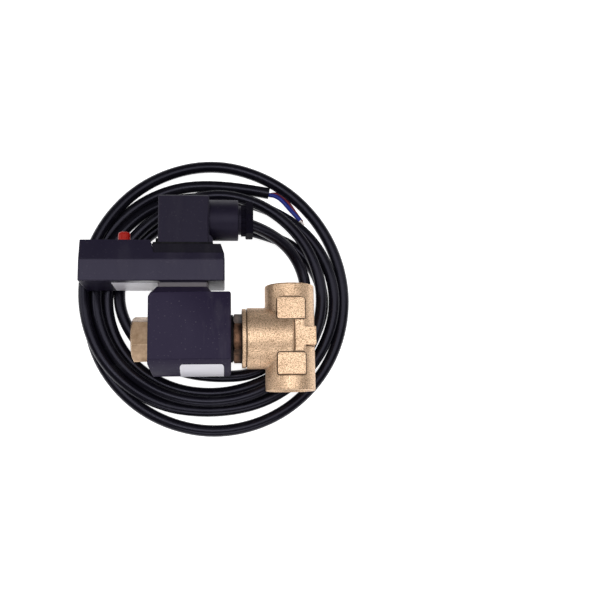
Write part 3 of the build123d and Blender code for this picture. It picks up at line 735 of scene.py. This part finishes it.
cord_jacket = rubber("cord_jacket", (0.0048, 0.0043, 0.0075), 0.1, 0.2, 0.27, bump=0.04, edge=0,
                     Specular_IOR_Level=0.22, Specular_Tint=(0.78, 0.76, 1.0, 1))
brown_jacket = rubber("brown_jacket", (0.19, 0.008, 0.024), 0.0, 0.3, 0.4, edge=0, Specular_IOR_Level=0.25)
blue_jacket = rubber("blue_jacket", (0.014, 0.028, 0.26), 0.0, 0.3, 0.4, edge=0, Specular_IOR_Level=0.25)

NODE_FINISHES = {
    cast_brass: ["valve_body"],
    turned_brass: ["coil_nut"],
    shaded_bonnet_brass: ["bonnet_nut"],
    bright_steel: ["armature_tube", "pole_core", "plunger", "plunger_spring"],
    zinc_steel: ["magnet_yoke", "coil_blades", "socket_clips", "timer_blades", "terminal_screws",
                 "clamp_screw", "gland_washer"],
    winding_copper: ["coil_winding", "shading_ring"],
    coil_plastic: ["solenoid_housing"],
    timer_plastic: ["timer_base", "timer_cover"],
    pedestal_plastic: ["plug_pedestal"],
    plug_plastic: ["plug_housing"],
    gland_plastic: ["gland_nut"],
    inner_plastic: ["contact_carrier", "test_switch"],
    bobbin_plastic: ["coil_bobbin"],
    board_mask: ["circuit_board"],
    board_plastic: ["circuit_parts"],
    button_plastic: ["test_button"],
    dial_plastic: ["off_dial", "on_dial"],
    lamp_plastic: ["indicator_lamps"],
    grey_rubber: ["connector_gasket"],
    black_rubber: ["bonnet_seal", "plunger_seal", "plug_gasket", "gland_seal", "coil_washer"],
    label_film: ["coil_label", "timer_labels"],
    cord_jacket: ["cord_lead", "cord_coil"],
    brown_jacket: ["core_brown"],
    blue_jacket: ["core_blue"],
}
PIECE_FINISHES = {
    cord_jacket: [cord],
    brown_jacket: [brown_core],
    blue_jacket: [blue_core],
    strand_copper: [brown_tip, blue_tip],
    cast_brass: [casting],
    turned_brass: threads,
    coil_plastic: [shell],
    scale_print: [off_scale],
    dark_print: [on_scale],
}


def dress(piece, material):
    piece.data.materials.clear()
    piece.data.materials.append(material)


for material, names in NODE_FINISHES.items():
    for name in names:
        dress(nodes[name], material)
for material, pieces in PIECE_FINISHES.items():
    for piece in pieces:
        dress(piece, material)


# ---------------------------------------------------------------- what rides on what

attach(cord, "valve")
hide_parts("cord_lead", "cord_coil")
for piece in (casting, shell, *threads, off_scale, on_scale):
    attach(piece, "valve")
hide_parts("valve_body")
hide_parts("solenoid_housing")
for core, tip, node, slot in ((brown_core, brown_tip, "core_brown", "brown_core"),
                              (blue_core, blue_tip, "core_blue", "blue_core")):
    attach(core, "valve")
    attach(tip, "valve")
    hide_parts(node)


# ---------------------------------------------------------------- floor and light

FLOOR_SIZE = 4.0
FLOOR_GLOW, ROOM_LIGHT = 0.9, 0.12

pick_nothing()
bpy.ops.mesh.primitive_grid_add(x_subdivisions=4, y_subdivisions=4, size=FLOOR_SIZE,
                                location=(0, 0, FLOOR - 0.05 * MM))
floor = bpy.context.object
floor.name = "floor"

paper = bpy.data.materials.new("white_paper")
paper.use_nodes = True
tree = paper.node_tree
tree.nodes.remove(tree.nodes["Principled BSDF"])
rays = tree.nodes.new("ShaderNodeLightPath")
seen = sums(tree, "MAXIMUM", rays.outputs["Is Camera Ray"],
            sums(tree, "MAXIMUM", rays.outputs["Is Glossy Ray"], rays.outputs["Is Transmission Ray"]))
matt = place_node(tree, "ShaderNodeBsdfDiffuse", {"Color": (0.8, 0.8, 0.8, 1)})
glow = place_node(tree, "ShaderNodeEmission", {"Color": (1, 1, 1, 1),
                                               "Strength": sums(tree, "MULTIPLY", seen, FLOOR_GLOW)})
both = place_node(tree, "ShaderNodeAddShader", {0: matt.outputs[0], 1: glow.outputs[0]})
tree.links.new(both.outputs[0], tree.nodes["Material Output"].inputs["Surface"])
dress(floor, paper)

world = bpy.data.worlds.new("room")
bpy.context.scene.world = world
world.use_nodes = True
tree = world.node_tree
rays = tree.nodes.new("ShaderNodeLightPath")
share = sums(tree, "MAXIMUM", rays.outputs["Is Camera Ray"], rays.outputs["Is Transmission Ray"])
background = tree.nodes["Background"].inputs
tree.links.new(spread_of(tree, share, 0.0, 1.0, ROOM_LIGHT, 1.0), background["Strength"])
background["Color"].default_value = (1, 1, 1, 1)


def lamp(name, place, target, size, power):
    data = bpy.data.lights.new(name, "AREA")
    data.shape = "RECTANGLE"
    data.size, data.size_y = size
    data.energy = power
    piece = new_object(name, data)
    piece.location = place
    piece.rotation_euler = (target - place).to_track_quat("-Z", "Y").to_euler()


centre = (cad_low + cad_high) / 2
for name, away, size, power in (
        ("softbox_over", (0.0, 0.02, 0.85), (1.2, 0.55), 4.4),
        ("strip_over", (-0.06, -0.05, 0.9), (0.1, 0.1), 0.35),
        ("softbox_front", (0.05, -0.70, 0.45), (0.6, 0.3), 1.5),
        ("softbox_left", (-0.75, 0.1, 0.4), (0.3, 0.6), 1.2),
        ("softbox_right", (0.7, 0.25, 0.45), (0.3, 0.6), 0.6)):
    lamp(name, centre + Vector(away), centre, size, power)

bpy.context.scene.view_settings.view_transform = "Standard"
